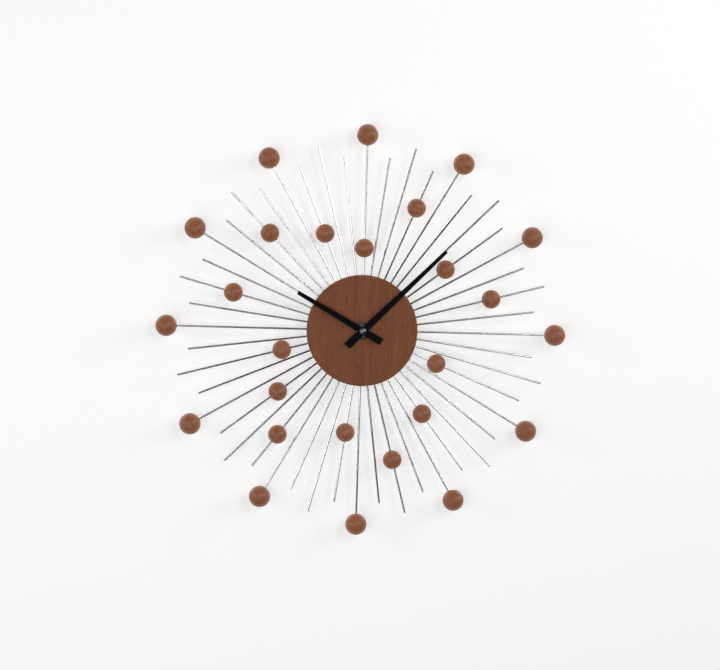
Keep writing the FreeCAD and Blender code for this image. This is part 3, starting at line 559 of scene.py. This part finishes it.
# ---- Balls --------------------------------------------------------------------------------
def ball_profile(radius, bored_through):
    """Turned ball round a bore along z, with a small countersink where the rod goes in."""
    sink = BORE + 0.35 * MM
    sink_depth = 0.75 * MM
    start = math.degrees(math.acos(sink / radius))
    countersink = [(BORE, -radius + sink_depth), (sink, -radius * math.sin(math.radians(start)))]
    if bored_through:
        sphere = arc((0, 0), radius, -start, start, 40)
        return countersink + sphere[1:] + [(BORE, radius - sink_depth)]
    sphere = arc((0, 0), radius, -start, 90, 40)
    bottom = HOUR_TIP - HOUR_RING
    return [(0, bottom), (BORE, bottom)] + countersink + sphere[1:-1] + [(0, radius)]


def wood_sample(chance):
    """Where in the tree a ball was cut: the textures' space, turned and moved at random."""
    most_tilt = 0.3
    most_sideways = 0.03
    tilt = Matrix.Rotation(math.radians(90) + chance.uniform(-most_tilt, most_tilt), 4, "X")
    spin = Matrix.Rotation(chance.uniform(0, 2 * math.pi), 4, "Z")
    sideways = [chance.uniform(-most_sideways, most_sideways) for _ in range(2)]
    move = Vector(sideways + [chance.uniform(-1, 1)])
    return Matrix.Translation(move) @ tilt @ spin


def make_hour_balls(material, chance):
    """Twelve pieces, each on the end of a long rod."""
    profile = ball_profile(HOUR_BALL, False)
    for hour in range(1, 13):
        bm = new_mesh()
        lathe(bm, profile, on_spoke(hour * 4, HOUR_RING), segments=72, grain=wood_sample(chance))
        node = "hour_ball_%02d" % hour
        make_piece(bm, "walnut_" + node, material, "walnut", "frame", node)


def make_accent_balls(material, chance):
    """Three pieces, one for each ring of smaller balls, with the rods running through them."""
    profile = ball_profile(ACCENT_BALL, True)
    for name, (distance, steps) in ACCENT_RINGS.items():
        bm = new_mesh()
        for step in steps:
            lathe(bm, profile, on_spoke(step, distance), segments=64, closed=True,
                  grain=wood_sample(chance))
        make_piece(bm, "walnut_balls_" + name, material, "walnut", "frame", "accent_balls_" + name)


# ---- Hub ----------------------------------------------------------------------------------
def weld_distance(radius, angle):
    """Distance of a place on the hub plate from the nearest spot weld."""
    to_spoke = (angle * STEPS / (2 * math.pi) + 0.5) % 1 - 0.5
    sideways = radius * to_spoke * 2 * math.pi / STEPS
    return min(math.hypot(radius - circle, sideways) for circle in WELD_CIRCLES)


def make_hub_plate(material):
    """Steel disc with two spot welds under every rod, pressed in from behind."""
    back, front = depths("hub_plate")
    radius = reach("hub_plate")
    edge = 0.3 * MM
    mark_depth = 0.35 * MM
    mark_radius = 1.9 * MM
    tint_radius = 3.4 * MM
    mark_slope = 1.6
    zone_start = 42 * MM
    zone_end = 56 * MM
    fine = 0.4 * MM
    count = round((zone_end - zone_start) / fine)
    profile = [(SHAFT_HOLE, front), (SHAFT_HOLE, back), (zone_start - 4 * MM, back)]
    profile += [(zone_start + fine * number, back) for number in range(count + 1)]
    profile += arc((radius - edge, back + edge), edge, -90, 0, 3)
    profile += arc((radius - edge, front - edge), edge, 0, 90, 3)

    def shape(r, height, angle):
        if height > back + TINY:
            return r, height
        inside = max(0.0, 1 - (weld_distance(r, angle) / mark_radius) ** 2)
        return r, height + mark_depth * min(1.0, mark_slope * inside)

    piece = turned_piece("welded_hub_plate", profile, material, "zinc_plate", "frame", "hub_plate",
                         segments=STEPS * 16, closed=True, shape=shape)
    tint = piece.data.attributes.new("weld_tint", "FLOAT", "POINT")
    for vertex in piece.data.vertices:
        on_back = -vertex.co.y < (back + front) / 2
        distance = math.hypot(vertex.co.x, vertex.co.z)
        angle = math.atan2(vertex.co.x, vertex.co.z)
        near_weld = max(0.0, 1 - weld_distance(distance, angle) / tint_radius)
        tint.data[vertex.index].value = near_weld if on_back else 0.0


def make_bushing(material):
    """Brass bushing: flange behind the case's wall and a fine helical thread in front."""
    back, front = depths("threaded_bushing")
    flange_radius = reach("threaded_bushing")
    radius = 4.0 * MM
    flange = 0.8 * MM
    thread_start = depths("dial_washer")[0]
    thread_depth = 0.38 * MM
    chamfer = 0.45 * MM
    bore_chamfer = 0.2 * MM
    per_turn = 8
    rings = round((front - chamfer - thread_start) / (THREAD_PITCH / per_turn))
    profile = [(BUSHING_BORE, back), (flange_radius, back), (flange_radius, back + flange)]
    profile += [(radius, back + flange), (radius, thread_start - THREAD_PITCH)]
    for number in range(rings + 1):
        profile.append((radius, thread_start + THREAD_PITCH / per_turn * number))
    profile += [(radius - chamfer, front), (BUSHING_BORE + bore_chamfer, front)]
    profile += [(BUSHING_BORE, front - bore_chamfer)]

    def shape(r, height, angle):
        if r < radius - TINY or height < thread_start:
            return r, height
        turn = (height / THREAD_PITCH - angle / (2 * math.pi)) % 1
        return r - thread_depth * (1 - abs(2 * turn - 1)), height

    turned_piece("threaded_brass_bushing", profile, material, "brass", "frame", "threaded_bushing",
                 closed=True, shape=shape)


def make_dial_washer(material):
    """Flat washer with a punched, rolled-over outer edge."""
    back, front = depths("dial_washer")
    radius = reach("dial_washer")
    rounding = 0.28 * MM
    burr = 0.1 * MM
    profile = [(SHAFT_HOLE, front - burr), (SHAFT_HOLE, back), (radius - burr, back)]
    profile += [(radius, back + burr)]
    profile += arc((radius - rounding, front - rounding), rounding, 0, 90, 6)
    profile += [(SHAFT_HOLE + burr, front)]
    turned_piece("dark_washer", profile, material, "nickel", "frame", "dial_washer",
                 segments=128, closed=True)


def make_rubber_washer(material):
    """Rubber ring whose edge bulges where it is squeezed."""
    back, front = depths("rubber_washer")
    radius = reach("rubber_washer")
    bulge = (front - back) / 2
    profile = [(SHAFT_HOLE, front), (SHAFT_HOLE, back)]
    profile += arc((radius - bulge, back + bulge), bulge, -90, 90, 8)
    turned_piece("rubber_ring", profile, material, "rubber", "frame", "rubber_washer",
                 segments=96, closed=True)


# ---- Hands' nut ---------------------------------------------------------------------------
def make_hand_nut(material):
    """Domed cap nut with a knurled skirt."""
    back, front = depths("hand_nut")
    radius = reach("hand_nut")
    skirt = 1.1 * MM
    step = 0.2 * MM
    chamfer = 0.25 * MM
    recess_radius = 1.3 * MM
    recess = 0.4 * MM
    knurls = 40
    knurl_depth = 0.12 * MM
    shoulder = radius - step
    dome_base = back + skirt + step
    dome_rings = 12
    profile = [(0, back + recess), (recess_radius, back + recess), (recess_radius, back)]
    profile += [(radius - chamfer, back), (radius, back + chamfer)]
    profile += [(radius, back + 2 * chamfer), (radius, back + skirt)]
    for number in range(dome_rings):
        angle = math.radians(90 * number / dome_rings)
        height = dome_base + (front - dome_base) * math.sin(angle)
        profile.append((shoulder * math.cos(angle), height))
    profile += [(0, front)]

    def shape(r, height, angle):
        if abs(r - radius) > TINY:
            return r, height
        return r - knurl_depth * (0.5 + 0.5 * math.cos(knurls * angle)), height

    turned_piece("domed_hand_nut", profile, material, "nickel", "minute", "hand_nut",
                 segments=240, shape=shape)


# ---- Battery ------------------------------------------------------------------------------
def make_battery(steel, wrap):
    """AA cell: steel can with rolled ends, and a shrink sleeve that curls over them."""
    low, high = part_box("aa_battery")
    centre = middle("aa_battery")
    place = Matrix.Translation((0, centre.y, centre.z)) @ ALONG_X
    radius = (high.z - low.z) / 2
    shoulder = high.x - 1.0 * MM
    can = radius - 0.12 * MM
    rolled = 0.6 * MM

    def rounded_wall(wall, edge):
        """Side of a can or sleeve, rounded at both ends, with a ring next to each rounding."""
        side = arc((wall - edge, low.x + edge), edge, -90, 0, 5)
        side += [(wall, low.x + 1.5 * edge), (wall, shoulder - 1.5 * edge)]
        return side + arc((wall - edge, shoulder - edge), edge, 0, 90, 5)

    groove = 0.25 * MM
    dish = 3.6 * MM
    dish_rim = 4.0 * MM
    nub_radius = 2.7 * MM
    nub_rounding = 0.3 * MM
    nub_groove = nub_radius + 0.9 * MM
    profile = [(0, low.x + groove), (dish, low.x + groove), (dish_rim, low.x)]
    profile += [(can - 1.5 * rolled, low.x)] + rounded_wall(can, rolled)
    profile += [(nub_groove, shoulder - groove), (nub_radius, shoulder - groove)]
    profile += arc((nub_radius - nub_rounding, high.x - nub_rounding), nub_rounding, 0, 90, 4)
    profile += [(0, high.x)]
    bm = new_mesh()
    lathe(bm, profile, place, segments=80)
    make_piece(bm, "battery_can", steel, "nickel", "battery", "aa_battery")

    curl = 0.65 * MM
    lip = radius - 1.9 * MM
    skin = 0.06 * MM
    inner = [(lip, shoulder - skin), (can - rolled, shoulder - skin)]
    inner += [(can - skin, shoulder - rolled), (can - skin, low.x + rolled)]
    inner += [(can - rolled, low.x + skin), (lip, low.x + skin)]
    outer = [(lip, low.x)] + rounded_wall(radius, curl) + [(lip, shoulder)]
    bm = new_mesh()
    lathe(bm, outer + inner, place, segments=80, closed=True)
    make_piece(bm, "battery_sleeve", wrap, "battery_wrap", "battery")


# ---- CAD nodes that stay ------------------------------------------------------------------
def dress(node, material, rounding=None):
    """Give a CAD node its material and, where a rounding is given, softly rounded edges."""
    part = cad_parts[node]
    if not part.material_slots:
        part.data.materials.append(material)
    for slot in part.material_slots:
        slot.material = material
    for polygon in part.data.polygons:
        polygon.use_smooth = bool(rounding)
    if rounding:
        weld = part.modifiers.new("weld", "WELD")
        weld.merge_threshold = 0.002 * MM
        flat = part.modifiers.new("flat", "DECIMATE")
        flat.decimate_type = "DISSOLVE"
        flat.angle_limit = math.radians(1)
        edges = part.modifiers.new("edges", "BEVEL")
        edges.width = rounding
        edges.segments = 3
        edges.limit_method = "ANGLE"
        edges.angle_limit = SHARP
        part.modifiers.new("shading", "WEIGHTED_NORMAL")


def dress_outside(plated, enamel, smoked, black, red):
    """CAD nodes that show from outside."""
    dress("minute_hand", enamel, 0.12 * MM)
    dress("hour_hand", enamel, 0.12 * MM)
    dress("hex_nut", smoked, 0.15 * MM)
    dress("hanger_bracket", plated, 0.2 * MM)
    dress("dial_screws", plated, 0.08 * MM)
    dress("movement_rear_case", black, 0.2 * MM)
    dress("movement_front_case", black, 0.2 * MM)
    dress("setting_knob", red, 0.1 * MM)


def dress_inside(materials):
    """CAD nodes inside the movement, by finish."""
    finishes = {
        "brass": ("minute_arbor",),
        "gear_white": ("rotor_pinion", "fifth_wheel", "second_wheel", "third_wheel", "centre_wheel",
                       "setting_wheel", "hour_wheel", "coil_bobbin"),
        "bridge_plastic": ("gear_bridge",),
        "magnet": ("rotor_magnet",),
        "motor_iron": ("stator", "coil_core"),
        "spring_steel": ("clutch_spring", "positive_contact", "negative_contact"),
        "copper": ("coil_winding",),
        "board_green": ("circuit_board",),
        "crystal_can": ("quartz_crystal",),
        "epoxy": ("chip_blob",),
    }
    for finish, nodes in finishes.items():
        for node in nodes:
            dress(node, materials[finish])


# ---- Studio -------------------------------------------------------------------------------
def plain_plane(name, corners, material):
    """A wall or floor, which isn't part of the clock."""
    mesh = bpy.data.meshes.new(name)
    mesh.from_pydata(corners, [], [(0, 1, 2, 3)])
    mesh.materials.append(material)
    plane = bpy.data.objects.new(name, mesh)
    bpy.context.scene.collection.objects.link(plane)
    return plane


def wall_paint():
    """White paint with a glow of its own, which keeps the clock's shadows faint.

    It is clear from behind, so that the clock's back shows, and it lets all lamps through.
    """
    paint = Surface("wall_paint", (0.6, 0.6, 0.597), 0.9)
    paint.set("Emission Color", (1, 1, 0.995, 1))
    paint.set("Emission Strength", 0.52)
    paint.bump(paint.noise(0.002, detail=3), 0.02 * MM, 0.3)
    clear = paint.node("ShaderNodeBsdfTransparent")
    behind = paint.node("ShaderNodeNewGeometry").outputs["Backfacing"]
    shadow = paint.node("ShaderNodeLightPath").outputs["Is Shadow Ray"]
    either = paint.math("MAXIMUM", behind, shadow)
    both = paint.node("ShaderNodeMixShader", {0: either, 1: paint.shader.outputs[0],
                                              2: clear.outputs[0]})
    paint.tree.links.new(both.outputs[0], paint.tree.nodes["Material Output"].inputs["Surface"])
    return paint.material


def floor_paint():
    """Pale floor, lit mostly by its own glow."""
    paint = Surface("floor_paint", (0.1, 0.1, 0.1), 0.8)
    paint.set("Emission Color", (1, 1, 0.995, 1))
    paint.set("Emission Strength", 0.8)
    return paint.material


def make_stage():
    """Wall just behind the clock and a floor below, which neither lights nor mirrors in it."""
    half_width = 4.0
    half_height = 3.0
    gap = 0.6 * MM
    wall = ((-half_width, gap, -half_height), (half_width, gap, -half_height),
            (half_width, gap, half_height), (-half_width, gap, half_height))
    plain_plane("wall", wall, wall_paint())
    level = -1.6
    size = 12.0
    floor = ((-size, -size, level), (size, -size, level), (size, size, level), (-size, size, level))
    ground = plain_plane("floor", floor, floor_paint())
    ground.visible_diffuse = False
    ground.visible_glossy = False


def soft_light(name, at, aim, width, height, power, through_wall=False):
    """Soft box; a lamp behind the wall is found only by the shadow rays that the wall lets by."""
    data = bpy.data.lights.new(name, "AREA")
    data.shape = "RECTANGLE"
    data.size = width
    data.size_y = height
    data.energy = power
    data.cycles.use_multiple_importance_sampling = not through_wall
    light = bpy.data.objects.new(name, data)
    light.location = at
    light.rotation_euler = (Vector(aim) - Vector(at)).to_track_quat("-Z", "Y").to_euler()
    bpy.context.scene.collection.objects.link(light)


def make_lights():
    """Soft boxes, and two lights behind the wall for the clock's back.

    A rod shines where it mirrors a box, so the boxes' directions settle which rods look pale.
    """
    centre = (0, -0.02, 0)
    box = 0.4
    soft_light("right_inner_high", (0.47, -1.9, 0.41), centre, box, box, 2.05)
    soft_light("right_inner", (0.69, -1.87, 0.19), centre, box, box, 2.6)
    soft_light("right_high", (0.67, -1.73, 0.75), centre, box, box, 4.3)
    soft_light("right_outer_high", (1.47, -1.19, 0.64), centre, box, box, 3.6)
    soft_light("right_side", (1.8, -0.75, 0.75), centre, 0.5, 0.9, 8.5)
    soft_light("left_inner", (-0.43, -1.95, -0.11), centre, box, box, 2.6)
    soft_light("left", (-0.83, -1.82, -0.11), centre, box, box, 4.6)
    soft_light("left_outer", (-1.33, -1.49, -0.11), centre, box, box, 1.5)
    soft_light("left_side", (-1.9, -0.75, 0.3), centre, 0.5, 0.9, 7.5)
    soft_light("left_outer_low", (-1.13, -1.41, -0.86), centre, box, box, 2.2)
    soft_light("below", (-0.33, -1.71, -0.98), centre, box, box, 2.05)
    soft_light("above", (0.1, -0.9, 1.3), centre, 1.2, 0.6, 1.6)
    soft_light("back_left", (-1.3, 1.3, 0.9), centre, 1.0, 1.0, 4.4, through_wall=True)
    soft_light("back_right", (1.3, 1.3, 0.9), centre, 1.0, 1.0, 4.4, through_wall=True)


def make_world():
    """A dim room for reflections, behind a pale backdrop."""
    world = bpy.data.worlds.new("studio")
    world.use_nodes = True
    bpy.context.scene.world = world
    nodes = world.node_tree.nodes
    links = world.node_tree.links
    room = nodes["Background"]
    room.inputs["Color"].default_value = (0.03, 0.03, 0.03, 1)
    backdrop = nodes.new("ShaderNodeBackground")
    backdrop.inputs["Color"].default_value = (0.86, 0.86, 0.855, 1)
    path = nodes.new("ShaderNodeLightPath")
    both = nodes.new("ShaderNodeMixShader")
    links.new(path.outputs["Is Camera Ray"], both.inputs[0])
    links.new(room.outputs[0], both.inputs[1])
    links.new(backdrop.outputs[0], both.inputs[2])
    links.new(both.outputs[0], nodes["World Output"].inputs["Surface"])


def make_camera():
    """From slightly left of and above the axis, with the clock hanging a little askew."""
    azimuth = math.radians(-5.0)
    elevation = math.radians(3.2)
    roll = math.radians(1.75)
    distance = 2.916
    sideways = -2.15 * MM
    downwards = -5.6 * MM
    back = Vector((math.sin(azimuth) * math.cos(elevation),
                   -math.cos(azimuth) * math.cos(elevation), math.sin(elevation)))
    turn = (-back).to_track_quat("-Z", "Y").to_matrix().to_4x4() @ Matrix.Rotation(roll, 4, "Z")
    aim = Matrix.Translation((0, middle("spokes_hour").y, 0))
    framing = Matrix.Translation((sideways, downwards, distance))
    data = bpy.data.cameras.new("camera")
    data.sensor_width = 36
    data.lens = 120
    data.clip_end = 50
    camera = bpy.data.objects.new("camera", data)
    camera.matrix_world = aim @ turn @ framing
    bpy.context.scene.collection.objects.link(camera)
    bpy.context.scene.camera = camera


# ---- Everything ---------------------------------------------------------------------------
def make_clock():
    """All materials and pieces; chance is seeded, so every run gives the same balls."""
    chance = random.Random(12)
    wood = walnut("walnut", 1.34, 0.13, 0)
    light_wood = walnut("walnut_turned", 1.75, 0.2, 0.5)
    bright = nickel("nickel", (0.58, 0.57, 0.54), (0.46, 0.44, 0.41), 0.24)
    smoked = nickel("smoked_nickel", (0.2, 0.195, 0.185), (0.14, 0.135, 0.125), 0.32)
    # Nickel darkened to nearly black, for the washer under the hands.
    darkened = nickel("darkened_nickel", (0.075, 0.064, 0.055), (0.05, 0.042, 0.036), 0.4)
    sheet_zinc = zinc("zinc_plate")
    bronze = brass()
    make_dial(wood)
    make_rods(polished_steel())
    make_hour_balls(light_wood, chance)
    make_accent_balls(light_wood, chance)
    make_hub_plate(zinc("zinc_welded", welded=True))
    make_bushing(bronze)
    make_dial_washer(darkened)
    make_rubber_washer(rubber())
    make_hand_nut(smoked)
    make_battery(bright, battery_wrap())
    dress_outside(sheet_zinc, hand_black(), smoked, case_black(), knob_plastic())
    dress_inside({
        "brass": bronze, "gear_white": gear_white(), "bridge_plastic": bridge_plastic(),
        "magnet": magnet(), "motor_iron": motor_iron(), "spring_steel": spring_steel(),
        "copper": copper(), "board_green": board_green(), "crystal_can": crystal_can(),
        "epoxy": epoxy(),
    })


make_camera()
make_stage()
make_lights()
make_world()
make_clock()
bpy.context.scene.view_settings.view_transform = "Standard"
